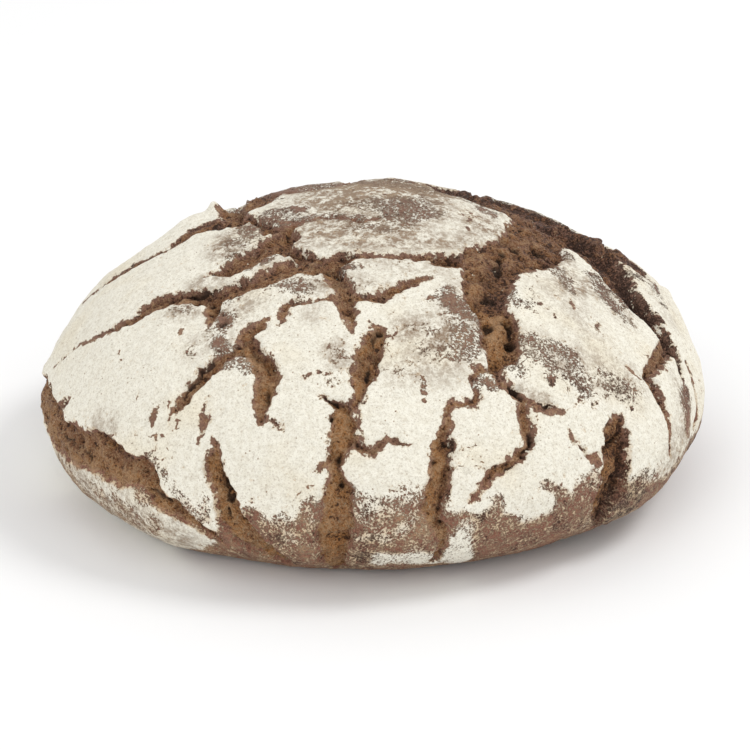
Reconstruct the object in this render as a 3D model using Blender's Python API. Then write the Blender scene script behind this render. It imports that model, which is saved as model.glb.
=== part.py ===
"""A round rye bread loaf, baked free-standing, in one solid.

The loaf is a low dome with a rounded belly and a flat underside.  Its dark crust has torn open into
plates of floured dough, parted by deep cracks.

Places on the crust are given on a crust map, in millimetres.  The map's origin is the top of the
crown.  A point's distance from the origin is the way down over the crust, and its direction is the
compass direction on the loaf: map +x is the loaf's right side (+X), and map -y is its front (-Y).
"""

import math

import bmesh
import bpy
import numpy as np
from mathutils import Vector, noise

MM = 0.001

# Driving dimensions, in millimetres.
LOAF_WIDTH = 264.0
DEPTH_TO_WIDTH = 0.97
BELLY_HEIGHT = 32.5  # height of the widest level
CROWN_RISE = 73.5  # from the widest level to the crown
FOOT_TO_WIDTH = 0.735  # flat underside
FOOT_SHIFT = -0.07  # the underside reaches further out on the left than on the right

# Exponents of the rounded profile; 2 is an ellipse, more is fuller.
CROWN_FULLNESS = 1.764
SHOULDER_FULLNESS = 2.016
BELLY_FULLNESS = 2.06

# Mesh sizes, in millimetres.
PLATE_EDGE = 8.6
CRACK_EDGE = 4.9
UNDERSIDE_EDGE = 22.0
CRACK_MARGIN = 1.6  # how far past a crack's side the mesh is fine
REFINE_ROUNDS = 4

# Relief, in millimetres.
PLATE_DROOP = 1.3  # how much a plate falls towards its torn edges
PLATE_DROOP_REACH = 10.0
UNEVENNESS = 1.6
UNEVENNESS_SIZE = 55.0
FOOT_FADE = 26.0  # the relief fades out over this way above the underside

CRUST_COLOUR = (0.30, 0.19, 0.12, 1.0)
CRUST_ROUGHNESS = 0.85

# Cracks: depth, then the path as (x, y, width) on the crust map.
CRACKS = {
    "left_lip": (2.5, [(-118, -1, 1), (-102, -6, 3), (-87, -5, 3), (-74, 3, 7), (-63, 14, 10)]),
    "left_hollow": (5.0, [(-66, 28, 10), (-60, 14, 12), (-54, 0, 5), (-52, -11, 3)]),
    "left_fork": (3.5, [(-115, -43, 1), (-97, -48, 5), (-82, -47, 10), (-60, -56, 10), (-38, -48, 7)]),
    "left_inner": (3.5, [(-61, -41, 9), (-48, -32, 11), (-37, -18, 9), (-40, 0, 6), (-54, 10, 6)]),
    "crown_left": (4.0, [(-62, 12, 9), (-48, 28, 11), (-44, 46, 10), (-50, 62, 8)]),
    "crown_front": (3.5, [(-36, -30, 5), (-18, -45, 8), (4, -43, 4), (22, -42, 6), (36, -40, 9)]),
    "centre_upper": (3.0, [(-17, -47, 8), (-12, -60, 9), (-10, -72, 7), (-8, -87, 3)]),
    "centre_spur": (2.0, [(-6, -69, 4), (4, -71, 4), (13, -61, 4), (23, -54, 2)]),
    "centre": (3.5, [(0, -84, 5), (0, -94, 10), (-4, -106, 9), (-8, -116, 6), (-12, -126, 11),
                     (-15, -142, 9), (-17, -156, 13), (-19, -176, 10)]),
    "centre_branch": (2.5, [(-9, -131, 4), (0, -138, 4), (13, -134, 3)]),
    "left_column": (3.5, [(-33, -72, 3), (-45, -79, 7), (-49, -90, 8), (-42, -103, 11),
                          (-44, -119, 6), (-34, -126, 1)]),
    "left_foot": (2.5, [(-56, -88, 3), (-66, -92, 5), (-78, -103, 6), (-92, -105, 2)]),
    "front_left": (4.0, [(-65, -122, 3), (-68, -134, 10), (-66, -146, 9), (-71, -156, 15),
                         (-66, -170, 12)]),
    "belly_tear": (5.0, [(-160, 24, 6), (-165, -4, 12), (-162, -34, 16), (-148, -66, 18),
                         (-131, -91, 18), (-112, -113, 15), (-99, -134, 11), (-87, -151, 4)]),
    "right_main": (4.5, [(64, 10, 18), (60, -12, 24), (52, -32, 26), (43, -50, 24), (41, -66, 17),
                         (48, -80, 15), (47, -97, 10)]),
    "crown_right": (6.0, [(14, 40, 8), (30, 33, 14), (52, 28, 17), (76, 15, 18), (95, -2, 19),
                          (106, -21, 19), (122, -35, 15), (135, -44, 8)]),
    "right_side": (3.5, [(121, -38, 6), (114, -60, 6), (112, -68, 6), (122, -76, 7), (143, -79, 2)]),
    "right_column": (3.5, [(45, -98, 5), (38, -110, 5), (28, -118, 5), (28, -132, 10),
                           (27, -148, 12), (30, -166, 8), (35, -180, 5)]),
    "right_hook": (2.5, [(49, -100, 4), (56, -106, 5), (60, -118, 7), (55, -132, 6), (43, -151, 3)]),
    "right_belly": (5.0, [(106, -90, 3), (101, -101, 11), (103, -114, 15), (117, -123, 14),
                          (134, -122, 5)]),
    "crown_back": (4.0, [(14, 40, 8), (-4, 49, 8), (-24, 53, 6), (-44, 46, 8)]),
    "back_left": (3.5, [(-50, 62, 8), (-64, 80, 8), (-62, 104, 9), (-74, 128, 8), (-70, 158, 10)]),
    "back_centre": (3.0, [(-4, 50, 5), (-9, 72, 8), (3, 92, 7), (-3, 120, 10), (5, 152, 9)]),
    "back_right": (3.5, [(34, 33, 6), (46, 56, 9), (41, 80, 7), (52, 108, 10), (47, 142, 8)]),
    "back_cross": (2.5, [(-62, 100, 5), (-40, 106, 5), (-18, 98, 4), (2, 92, 4)]),
    "back_shoulder": (3.5, [(88, 6, 8), (100, 28, 8), (97, 54, 9), (109, 80, 7), (106, 104, 6)]),
    "back_spur": (2.0, [(44, 72, 3), (66, 76, 5), (82, 68, 4), (97, 60, 3)]),
    "back_tear": (5.0, [(62, 150, 4), (88, 140, 12), (114, 122, 15), (134, 98, 13), (150, 68, 5)]),
    "left_tear": (4.0, [(-150, 62, 3), (-137, 86, 11), (-120, 108, 12), (-98, 128, 5)]),
    "left_back": (2.5, [(-68, 26, 5), (-86, 42, 6), (-104, 50, 5), (-124, 66, 2)]),
}

# Swellings and hollows of the whole crust: x, y, reach, height.
LUMPS = [
    (0, 30, 36, 2.4),  # crown plate
    (29, 46, 14, -5.0),  # step down beside it
    (-66, 26, 11, 3.6),  # lifted lip
    (-125, 20, 34, -2.6),  # sunken left shoulder
    (122, 12, 34, 3.4),  # full right shoulder
    (118, -112, 38, 3.6),  # full right belly
    (70, -60, 26, 1.2),
    (-95, -78, 34, 0.8),
]


def smooth_step(low, high, values):
    """Rise smoothly from 0 at low to 1 at high."""
    part = np.clip((values - low) / (high - low), 0.0, 1.0)
    return part * part * (3.0 - 2.0 * part)


def crust_profile(steps):
    """Radius and height, over the widest radius and in millimetres, at steps from 0 to 2.

    Step 0 is the crown, 1 the widest level and 2 the edge of the flat underside.
    """
    over = np.clip(steps, 0.0, 1.0) * math.pi / 2
    under = np.clip(steps - 1.0, 0.0, 1.0) * math.pi / 2
    dome = np.sin(over) ** (2 / SHOULDER_FULLNESS)
    rise = BELLY_HEIGHT + CROWN_RISE * np.cos(over) ** (2 / CROWN_FULLNESS)
    tuck = np.cos(under) ** (2 / BELLY_FULLNESS)
    fall = BELLY_HEIGHT * (1.0 - np.sin(under) ** (2 / BELLY_FULLNESS))
    return dome, tuck, np.where(steps <= 1.0, rise, fall)


def map_scale():
    """Arc length down the mean crust at many steps: the scale of the crust map's radius."""
    steps = np.linspace(0.0, 2.0, 801)
    dome, tuck, height = crust_profile(steps)
    under = FOOT_TO_WIDTH + (1.0 - FOOT_TO_WIDTH) * tuck
    radius = np.where(steps <= 1.0, dome, under) * LOAF_WIDTH / 2
    lengths = np.hypot(np.diff(radius), np.diff(height))
    return steps, np.concatenate([[0.0], np.cumsum(lengths)])


STEPS, ARCS = map_scale()
FOOT_ARC = ARCS[-1]
FULL_ARC = FOOT_ARC + FOOT_TO_WIDTH * LOAF_WIDTH / 2


def body_points(places):
    """Points of the smooth loaf, in millimetres, for places on the crust map.

    Places further out than the foot lie on the flat underside, which ends at its centre.
    """
    arc = np.hypot(places[:, 0], places[:, 1])
    angle = np.arctan2(places[:, 1], places[:, 0])
    steps = np.interp(arc, ARCS, STEPS)
    dome, tuck, height = crust_profile(steps)
    foot = FOOT_TO_WIDTH + FOOT_SHIFT * np.cos(angle)
    under = foot + (1.0 - foot) * tuck
    inward = np.clip((arc - FOOT_ARC) / (FULL_ARC - FOOT_ARC), 0.0, 1.0)
    radius = np.where(steps <= 1.0, dome, under) * (1.0 - inward) * LOAF_WIDTH / 2
    across = radius * np.cos(angle)
    along = radius * np.sin(angle) * DEPTH_TO_WIDTH
    return np.stack([across, along, height], axis=1)


def crack_fields(places):
    """Groove depth and the distance past the nearest crack's side, in millimetres."""
    groove = np.zeros(len(places))
    beyond = np.full(len(places), np.inf)
    for depth, path in CRACKS.values():
        for start, end in zip(path[:-1], path[1:]):
            first = np.array(start[:2], float)
            run = np.array(end[:2], float) - first
            share = np.clip((places - first) @ run / (run @ run), 0.0, 1.0)
            away = np.linalg.norm(places - first - share[:, None] * run, axis=1)
            half = 0.5 * (start[2] + share * (end[2] - start[2]))
            shape = 1.0 - smooth_step(0.3 * half, half + 1.5, away)
            deep = depth * np.clip(half / 4.0, 0.3, 1.0)
            groove = np.maximum(groove, deep * shape)
            beyond = np.minimum(beyond, away - half)
    return groove, beyond


def crust_relief(places):
    """Height of the torn crust over the smooth loaf, in millimetres."""
    groove, beyond = crack_fields(places)
    relief = -groove - PLATE_DROOP * np.exp(-np.maximum(beyond, 0.0) / PLATE_DROOP_REACH)
    for x, y, reach, height in LUMPS:
        away = np.hypot(places[:, 0] - x, places[:, 1] - y)
        relief += height * np.exp(-((away / reach) ** 2))
    for number, (x, y) in enumerate(places):
        spot = Vector((x, y, 0.0)) / UNEVENNESS_SIZE
        relief[number] += UNEVENNESS * noise.noise(spot)
    arc = np.hypot(places[:, 0], places[:, 1])
    return relief * smooth_step(0.0, FOOT_FADE, FOOT_ARC - arc)


def map_places(bm):
    """Crust-map places of a ball's vertices: the way down from +Z becomes the map's radius."""
    directions = np.array([vert.co.normalized() for vert in bm.verts])
    arc = np.arccos(np.clip(directions[:, 2], -1.0, 1.0)) / math.pi * FULL_ARC
    flat = np.maximum(np.hypot(directions[:, 0], directions[:, 1]), 1e-9)
    return directions[:, :2] * (arc / flat)[:, None]


def wanted_edge(places):
    """Edge length that the mesh should have at places on the map, in millimetres."""
    beyond = crack_fields(places)[1]
    near = smooth_step(CRACK_MARGIN, CRACK_MARGIN + 6.0, beyond)
    length = CRACK_EDGE + (PLATE_EDGE - CRACK_EDGE) * near
    arc = np.hypot(places[:, 0], places[:, 1])
    return np.where(arc > FOOT_ARC + 1.0, UNDERSIDE_EDGE, length)


def refine_near_cracks(bm):
    """Split the ball's edges until the loaf's mesh is as fine as wanted everywhere."""
    for _ in range(REFINE_ROUNDS):
        bm.verts.index_update()
        places = map_places(bm)
        points = body_points(places)
        wanted = wanted_edge(places)
        ends = np.array([[vert.index for vert in edge.verts] for edge in bm.edges])
        length = np.linalg.norm(points[ends[:, 0]] - points[ends[:, 1]], axis=1)
        limit = np.minimum(wanted[ends[:, 0]], wanted[ends[:, 1]]) * math.sqrt(2.0)
        too_long = [edge for edge, long in zip(bm.edges, length > limit) if long]
        bmesh.ops.subdivide_edges(bm, edges=too_long, cuts=1)
        bmesh.ops.triangulate(bm, faces=bm.faces[:])
        bmesh.ops.beautify_fill(bm, faces=bm.faces[:], edges=bm.edges[:], method="ANGLE")
        bmesh.ops.smooth_vert(bm, verts=bm.verts[:], factor=0.5,
                              use_axis_x=True, use_axis_y=True, use_axis_z=True)
        for vert in bm.verts:
            vert.co.normalize()


def shape_loaf(bm):
    """Turn the refined ball into the loaf, with its relief and a flat underside at height 0."""
    places = map_places(bm)
    for vert, point in zip(bm.verts, body_points(places)):
        vert.co = Vector(point)
    bm.normal_update()
    for vert, relief in zip(bm.verts, crust_relief(places)):
        vert.co += vert.normal * relief
        if vert.co.z < 0.05:
            vert.co.z = 0.0


def centre_on_foot(bm):
    """Bring the middle of the loaf's box over the origin and turn millimetres into metres."""
    corners = np.array([vert.co for vert in bm.verts])
    middle = (corners.min(axis=0) + corners.max(axis=0)) / 2
    bmesh.ops.translate(bm, verts=bm.verts[:], vec=(-middle[0], -middle[1], 0.0))
    bmesh.ops.scale(bm, verts=bm.verts[:], vec=(MM, MM, MM))


def crust_material():
    """Baked rye crust."""
    material = bpy.data.materials.new("rye_crust")
    material.use_nodes = True
    shader = material.node_tree.nodes["Principled BSDF"]
    shader.inputs["Base Color"].default_value = CRUST_COLOUR
    shader.inputs["Roughness"].default_value = CRUST_ROUGHNESS
    shader.inputs["Metallic"].default_value = 0.0
    material.diffuse_color = CRUST_COLOUR
    return material


def make_loaf():
    """The whole loaf, crust and crumb in one piece."""
    bm = bmesh.new()
    bmesh.ops.create_icosphere(bm, subdivisions=4, radius=1.0)
    refine_near_cracks(bm)
    shape_loaf(bm)
    centre_on_foot(bm)
    bmesh.ops.recalc_face_normals(bm, faces=bm.faces[:])
    mesh = bpy.data.meshes.new("loaf")
    bm.to_mesh(mesh)
    bm.free()
    mesh.shade_smooth()
    mesh.materials.append(crust_material())
    loaf = bpy.data.objects.new("loaf", mesh)
    bpy.context.scene.collection.objects.link(loaf)
    return loaf


def main():
    for old in list(bpy.data.objects):
        bpy.data.objects.remove(old, do_unlink=True)
    make_loaf()


main()
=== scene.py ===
"""The looks of the rye loaf: one fine crust over the CAD solid, on a pale floor in soft light.

Places on the crust are given on a crust map, in millimetres.  The map's origin is the top of the
crown.  A point's distance from the origin is the way down over the crust, and its direction is the
compass direction on the loaf: map +x is the loaf's right side (+X), and map -y is its front (-Y).
"""

import math

import bmesh
import bpy
import numpy as np
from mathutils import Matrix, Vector, noise


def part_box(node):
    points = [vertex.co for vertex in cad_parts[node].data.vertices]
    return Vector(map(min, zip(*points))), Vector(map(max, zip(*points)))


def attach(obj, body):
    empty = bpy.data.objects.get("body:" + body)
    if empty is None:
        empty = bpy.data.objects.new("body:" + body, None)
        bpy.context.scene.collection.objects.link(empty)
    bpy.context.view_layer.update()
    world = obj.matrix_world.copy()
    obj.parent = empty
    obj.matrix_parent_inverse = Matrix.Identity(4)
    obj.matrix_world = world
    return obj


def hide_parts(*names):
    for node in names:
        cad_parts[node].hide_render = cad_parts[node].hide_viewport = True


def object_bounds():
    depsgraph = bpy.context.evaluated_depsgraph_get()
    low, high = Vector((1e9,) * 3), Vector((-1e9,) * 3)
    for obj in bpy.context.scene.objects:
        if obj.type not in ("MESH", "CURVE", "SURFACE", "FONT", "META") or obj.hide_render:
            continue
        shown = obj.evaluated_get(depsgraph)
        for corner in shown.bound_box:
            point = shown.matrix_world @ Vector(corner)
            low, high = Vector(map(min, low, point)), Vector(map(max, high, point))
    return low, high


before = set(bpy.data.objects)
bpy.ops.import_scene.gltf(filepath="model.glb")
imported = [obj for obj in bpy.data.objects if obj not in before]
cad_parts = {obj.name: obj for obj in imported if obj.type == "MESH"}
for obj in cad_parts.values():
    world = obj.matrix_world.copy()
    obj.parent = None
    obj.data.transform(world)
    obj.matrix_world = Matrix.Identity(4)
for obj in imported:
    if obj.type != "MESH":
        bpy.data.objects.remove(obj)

MM = 0.001

CAD_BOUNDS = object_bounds()
CAD_BOX = np.array(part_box("loaf")) / MM
CAD_SIZE = CAD_BOX[1] - CAD_BOX[0]

# ---------------------------------------------------------------- the smooth loaf

TORN_AWAY = 1.4  # the torn belly is this much narrower than the smooth loaf
LOAF_WIDTH = CAD_SIZE[0] + TORN_AWAY
DEPTH_TO_WIDTH = 0.97
BELLY_HEIGHT = 0.302 * CAD_SIZE[2]  # height of the widest level
CROWN_RISE = 0.683 * CAD_SIZE[2]  # from the widest level to the crown
FOOT_TO_WIDTH = 0.735
FOOT_SHIFT = -0.07  # the underside reaches further out on the left than on the right

# Exponents of the rounded profile; 2 is an ellipse, more is fuller.
CROWN_FULLNESS = 1.764
SHOULDER_FULLNESS = 2.016
BELLY_FULLNESS = 2.06

PROFILE_POINTS = 801  # the profile's length is summed over this many points

# The mesh: lengths of its edges in millimetres, and how it is made finer.
PLATE_EDGE = 2.2
CRACK_EDGE = 0.95
UNDERSIDE_EDGE = 5.0
CRACK_MARGIN = 2.0  # how far past a crack's side the mesh is fine
REFINE_ROUNDS = 4
BALL_SUBDIVISIONS = 6  # the mesh starts as a ball this fine

# ---------------------------------------------------------------- the torn crust

# Cracks: depth, warmth of the floor (0 purple-brown, 1 golden), painted shade of the floor (the
# crack's shadow laid into its colour), and the path as (x, y, width).
CRACKS = {
    "left_lip": (1.2, 0.3, 0.9, [(-130, 20, 3), (-125, 17, 6), (-114, 9, 6.5), (-107, 5, 7), (-101, 2.5, 7),
        (-95, 0, 5.5), (-90, -2, 4), (-83.5, -1, 5), (-77, 3, 8), (-71, 8, 11), (-66, 8, 12), (-60, 6, 13),
        (-54, 2, 12)]),
    "left_hollow": (4.4, 0.4, 0.5, [(-56.5, 62, 10), (-56.5, 46, 10), (-56.5, 32, 10.5), (-56.5, 20, 11),
        (-55.5, 8, 10), (-53.5, 1, 7), (-52, -4, 3)]),
    "left_fork": (2.6, 0.4, 0.35, [(-142, -30, 1), (-135, -33, 1.4), (-127, -37, 1.8), (-120, -41.5, 2),
        (-114.5, -44.6, 2.3), (-109, -47, 2.7), (-105, -49, 3), (-99, -50, 4), (-94, -50, 7.5),
        (-88.5, -48, 9), (-84, -47.7, 8.5), (-80, -48.2, 8.5), (-75, -49.3, 8.5), (-69, -52, 8.5),
        (-63, -55.5, 9.5), (-60, -56, 10), (-55, -56, 10), (-50, -55, 9.5), (-45, -54.2, 9),
        (-40, -52.5, 10.5), (-35, -50.5, 12), (-31, -49, 12), (-27, -49, 11), (-23, -52, 9)]),
    "left_spur": (2.4, 0.7, 0.1, [(-61, -60, 9), (-61.5, -66, 7), (-62, -70, 4), (-62.5, -74.5, 1)]),
    "left_inner": (4.0, 0.45, 0.45, [(-64, -42, 1), (-60, -41, 5), (-55, -40.5, 12), (-50, -38, 13),
        (-45, -33, 13), (-40, -29.5, 14), (-37, -26, 15), (-35, -23, 14)]),
    "crown_left": (3.0, 0.35, 0.5, [(-29, -12, 4), (-34, -14, 8), (-40, -13, 8), (-43, -5, 5), (-47, 1, 4),
        (-50.5, 8, 3), (-50.5, 14, 4), (-46.5, 22, 13), (-44, 33, 16), (-44, 46, 16), (-50, 64, 10)]),
    "crown_line": (0.9, 0.5, 0.25, [(-38, -6, 3), (-33, -9, 3.4), (-27, -10, 3), (-19, -9.5, 3),
        (-12, -10, 3), (-6, -13, 3.4), (-3.5, -16.5, 2.6), (0, -14, 2.4), (5, -11.5, 2), (9, -10, 1)]),
    "crown_front": (3.2, 0.3, 0.6, [(-37, -29, 8), (-33, -34, 8), (-30, -37.5, 7), (-25, -42.5, 8),
        (-21, -47, 9), (-17, -49, 9.5), (-12, -45.5, 9.5), (-6, -43.5, 5), (0, -43.8, 3.2), (8, -44, 3),
        (14, -43.5, 4), (20, -43.5, 6), (26, -43.5, 9.5), (31, -43, 10)]),
    "centre_upper": (2.8, 0.5, 0.15, [(-15.5, -50, 8.5), (-13, -59, 7.5), (-10.5, -66, 8), (-9.7, -73, 7.5),
        (-9, -79, 6), (-8, -84.5, 3.7), (-7.2, -90, 1)]),
    "centre_west": (1.3, 0.5, 0.2, [(-12, -70, 4), (-20, -71.5, 2.6), (-27, -71.5, 2.6), (-31.5, -72.5, 4),
        (-33, -76, 4.2), (-34, -80, 2)]),
    "centre_spur": (2.2, 0.5, 0.35, [(-6, -69.5, 5), (0, -71, 4), (4, -70.3, 4.8), (6.5, -67.5, 6),
        (10, -64.3, 5.6), (13, -61.5, 5), (18, -59.5, 4), (22, -57, 2)]),
    "left_foot": (2.8, 0.5, 0.25, [(-50, -88.5, 7), (-55, -90.5, 6), (-60, -93, 6), (-66, -96, 6),
        (-70, -99.5, 6.5), (-75, -103, 7), (-79, -106.5, 5), (-82, -109.5, 2)]),
    "left_foot_end": (1.6, 0.35, 0.5, [(-86, -101, 1), (-87.5, -103, 2.8), (-89.5, -105.5, 3),
        (-91.5, -108, 1.2)]),
    "left_drop": (1.8, 0.5, 0.4, [(-65, -106.5, 0.8), (-66.3, -110.5, 1.4), (-66.8, -114, 2.8),
        (-67.8, -117.5, 2.6), (-70, -120.5, 2), (-72, -123, 0.8)]),
    "left_column": (2.6, 0.65, 0.0, [(-38, -77, 1.5), (-41, -78.5, 4), (-45, -81, 6.5), (-47.5, -85, 7),
        (-47, -89.5, 8), (-44.5, -93.5, 8.5), (-42, -98, 9), (-40, -102, 10.5), (-40, -107, 10),
        (-41.8, -112, 7.5), (-42.6, -117, 5.7), (-43.5, -121, 4.8), (-43.5, -123.3, 2.5)]),
    "centre_middle": (3.2, 0.75, 0.15, [(0, -83, 1), (2.3, -88, 5.5), (1, -92, 9), (-1, -97, 10.5),
        (-2, -103, 9.5), (-2.5, -108, 9), (-4.2, -113, 6.5), (-5, -117.5, 5), (-6, -121, 4)]),
    "centre_column": (3.1, 0.9, 0.1, [(-20, -116, 0.8), (-15, -118.5, 3.4), (-10.6, -121.5, 7.5),
        (-10.5, -126, 11), (-10.7, -131, 11), (-12.5, -135, 9.5), (-14.5, -139, 8), (-14.3, -144, 6.5),
        (-14.3, -149, 9), (-13.8, -152.5, 14.5), (-13.9, -158, 15.5), (-15.5, -164, 17), (-17.5, -172, 17),
        (-19, -182, 16), (-20, -194, 12)]),
    "column_nick": (1.5, 0.5, 0.2, [(-17, -141, 3), (-20, -142.3, 3), (-22, -143, 1.5)]),
    "centre_branch": (1.8, 0.35, 0.3, [(-7, -132.5, 4.8), (-3.5, -136, 4.2), (0, -138.3, 4), (2, -138.2, 4),
        (4.5, -135.3, 3), (7.5, -133.7, 2.6), (10, -134, 2.6), (12.5, -135.3, 2.4), (16, -135, 0.8)]),
    "right_column": (2.8, 0.85, 0.0, [(30, -115.5, 3), (29.8, -119, 3.6), (29.5, -123, 4.4),
        (29, -128, 5.4), (28.7, -132, 6.5), (28.2, -137, 9), (28, -142, 9.5), (27.6, -148, 9.5),
        (27.2, -152.5, 10), (26.4, -157, 10), (28.5, -161.5, 9), (32, -165.5, 7), (33.7, -170, 6),
        (34.4, -175, 5), (35.5, -183, 5)]),
    "right_arm": (1.8, 0.4, 0.5, [(43, -100.5, 4), (40.5, -103, 3.6), (38.8, -105.5, 3), (39, -108, 1.6),
        (41.5, -111.5, 3.4), (40, -114.5, 3.8), (37, -115.8, 3.6), (33, -116.5, 3.6), (30, -116.5, 4)]),
    "right_hook": (2.7, 0.6, 0.3, [(59, -109.5, 5), (59.5, -112.5, 5), (61.3, -116.5, 4.8),
        (62.8, -120.5, 5.4), (63.6, -124.5, 5.4), (62, -129, 4.6), (57.4, -133.6, 3.8), (52.6, -138.3, 4.6),
        (48.6, -143, 4.4), (45.7, -147, 3.4), (42.5, -151.5, 1.5)]),
    "right_branch": (2.4, 0.3, 0.7, [(48, -98.5, 5), (48.8, -101, 4.6), (51, -104.3, 4.2),
        (55, -107.2, 3.8), (60, -109.2, 4), (65, -110.5, 4), (68.5, -110, 2.8), (71, -109, 2.6),
        (75, -108, 2.2), (79.5, -107, 1)]),
    "right_main": (2.8, 0.4, 0.8, [(68, 5, 24), (64.5, -5, 26), (65, -14, 26), (61, -23, 26), (54, -31, 23),
        (46.5, -37, 24), (44.6, -50, 21), (43.8, -58, 20), (43, -64, 17), (43.5, -70, 14)]),
    "right_middle": (3.2, 0.95, 0.1, [(43, -66, 13), (48.3, -77, 16.5), (49, -82, 15.5), (49.5, -89, 15.5),
        (48.7, -94, 11.5), (47.5, -98.5, 7)]),
    "crown_right": (2.4, 0.05, 1.4, [(16, 47, 10), (28, 42, 22), (41, 38, 34), (51, 34, 35), (62, 28, 33),
        (70, 21, 33), (78, 14, 34), (86, 8, 26)]),
    "crown_far": (1.5, 0, 1.6, [(12, 60, 11), (24, 62, 20), (34, 60, 26), (45, 53, 27), (57, 46, 30),
        (66, 46, 24), (76, 43, 22), (87, 38, 20), (97, 32, 27), (103, 24, 31), (108, 18, 26),
        (113, 13.5, 20), (116, 10, 12), (119, 7, 3)]),
    "shoulder_right": (6.0, 0.1, 1.8, [(78, 16, 26), (90, 5, 24), (98, -7, 22.5), (104, -19.5, 17),
        (110.5, -26, 18.5), (115.5, -28.5, 17), (122.5, -34, 13), (128.5, -38, 9), (132.5, -44, 5),
        (135.5, -49.5, 2)]),
    "right_side": (3.0, 0.5, 0.3, [(124, -40, 8), (122, -47, 8), (120.3, -53, 7.5), (117, -60, 7),
        (113.8, -67, 5.5), (113.8, -70.5, 6), (117, -72, 7), (121, -76, 6.6), (125, -78.5, 4.8),
        (127.5, -82, 3.4), (130, -86.5, 2.6), (134, -91, 1.2)]),
    "right_edge": (2.5, 0.4, 0.3, [(137, -35, 1.5), (142, -39.5, 3), (147, -44, 4.5), (151, -49, 4.5),
        (153, -57, 2.5)]),
    "right_belly": (4.6, 0.5, 1.4, [(102, -96.5, 1), (102, -99.5, 7), (101.6, -105, 12), (103.2, -110, 13),
        (105.6, -115, 15), (107.8, -121, 16), (109.6, -128.5, 15), (112, -133, 11.5), (119, -136, 6)]),
    "belly_branch": (1.5, 0.4, 0.6, [(80, -114, 0.8), (83, -117, 1.5), (87, -118, 2), (91, -118.8, 2.6),
        (96, -119, 4)]),
    "belly_tear": (2.7, 0.6, 0.1, [(-158, 26, 8), (-163, 8, 12), (-163, -10, 17), (-160.5, -25, 20),
        (-157, -42, 22), (-151.5, -60, 21), (-145, -75.5, 17.5), (-134, -89.5, 17.5), (-126.5, -96.5, 18),
        (-119.5, -105, 18.5), (-112, -113.5, 16), (-106, -118.5, 12.5), (-101.5, -122, 12),
        (-98.5, -126, 12.5), (-98.5, -131, 10.5), (-97, -136.5, 8.5), (-92.5, -141, 8), (-89, -146.5, 8),
        (-85.5, -151.5, 6.5), (-82.5, -158, 5), (-79, -165, 3.5), (-76, -172, 2)]),
    "tear_spur": (1.5, 0.4, 0.5, [(-143, -60, 6), (-136.5, -62, 3.5), (-130, -65, 1)]),
    "front_left": (3.0, 0.9, 0.0, [(-64.5, -122, 0.8), (-64, -126, 3), (-65.3, -129.5, 6.5),
        (-66.3, -133, 9), (-66, -137, 8.5), (-64, -141.5, 8.5), (-62.9, -146, 11), (-64.8, -151, 12.5),
        (-65, -156, 13.5), (-62.5, -162, 15), (-59.5, -168, 14), (-55, -175, 12), (-49, -182, 9)]),
    "crown_back": (3.5, 0.4, 0.4, [(16, 38, 8), (4, 46, 8), (-10, 50, 7), (-24, 54, 6), (-34, 50, 6),
        (-45, 46, 8)]),
    "back_left": (3.5, 0.5, 0.25, [(-50, 62, 8), (-60, 74, 7), (-66, 88, 8), (-61, 104, 9), (-70, 118, 7),
        (-76, 130, 9), (-70, 144, 8), (-72, 160, 12), (-76, 176, 12)]),
    "back_centre": (3.0, 0.55, 0.2, [(-6, 50, 4), (-10, 62, 7), (-8, 76, 9), (3, 90, 8), (4, 104, 5),
        (-4, 118, 10), (-3, 132, 11), (5, 148, 9), (4, 164, 13), (8, 184, 10)]),
    "back_right": (3.5, 0.5, 0.3, [(34, 34, 7), (44, 48, 9), (47, 60, 9), (41, 74, 7), (44, 88, 8),
        (53, 102, 10), (50, 118, 8), (44, 134, 7), (48, 150, 10), (46, 170, 9)]),
    "back_cross": (2.2, 0.4, 0.3, [(-63, 100, 6), (-50, 106, 5), (-38, 103, 4), (-26, 106, 4), (-14, 99, 4),
        (2, 93, 4)]),
    "back_shoulder": (3.5, 0.45, 0.3, [(88, 8, 8), (97, 18, 8), (101, 32, 8), (96, 46, 9), (98, 60, 8),
        (108, 74, 7), (110, 88, 6), (105, 104, 4), (107, 114, 2)]),
    "back_spur": (2.0, 0.4, 0.3, [(44, 72, 4), (56, 77, 5), (68, 74, 4), (80, 68, 4), (96, 61, 3)]),
    "back_tear": (4.5, 0.5, 0.3, [(60, 152, 4), (72, 148, 9), (88, 140, 14), (102, 132, 15), (114, 121, 16),
        (126, 108, 14), (136, 94, 13), (144, 80, 10), (151, 66, 5)]),
    "left_tear": (4.0, 0.5, 0.3, [(-152, 58, 3), (-146, 72, 9), (-137, 86, 13), (-128, 98, 13),
        (-116, 110, 13), (-106, 122, 8), (-96, 130, 4)]),
    "left_back": (2.5, 0.4, 0.4, [(-66, 34, 6), (-74, 48, 5), (-82, 64, 6), (-95, 74, 4), (-108, 84, 4),
        (-119, 96, 2)]),
    "back_nick": (2.0, 0.5, 0.3, [(-30, 128, 2), (-34, 138, 6), (-30, 150, 7), (-36, 162, 9)]),
    "back_bend": (2.0, 0.4, 0.3, [(22, 112, 2), (24, 124, 5), (19, 136, 6), (24, 150, 4)]),
    "back_fleck": (2.0, 0.5, 0.3, [(76, 100, 2), (80, 110, 6), (74, 122, 5), (78, 130, 2)]),
    "left_column_tail": (1.6, 0.4, 0.7, [(-41, -122.5, 2), (-38, -124, 2), (-35, -126, 1)]),
}

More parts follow.
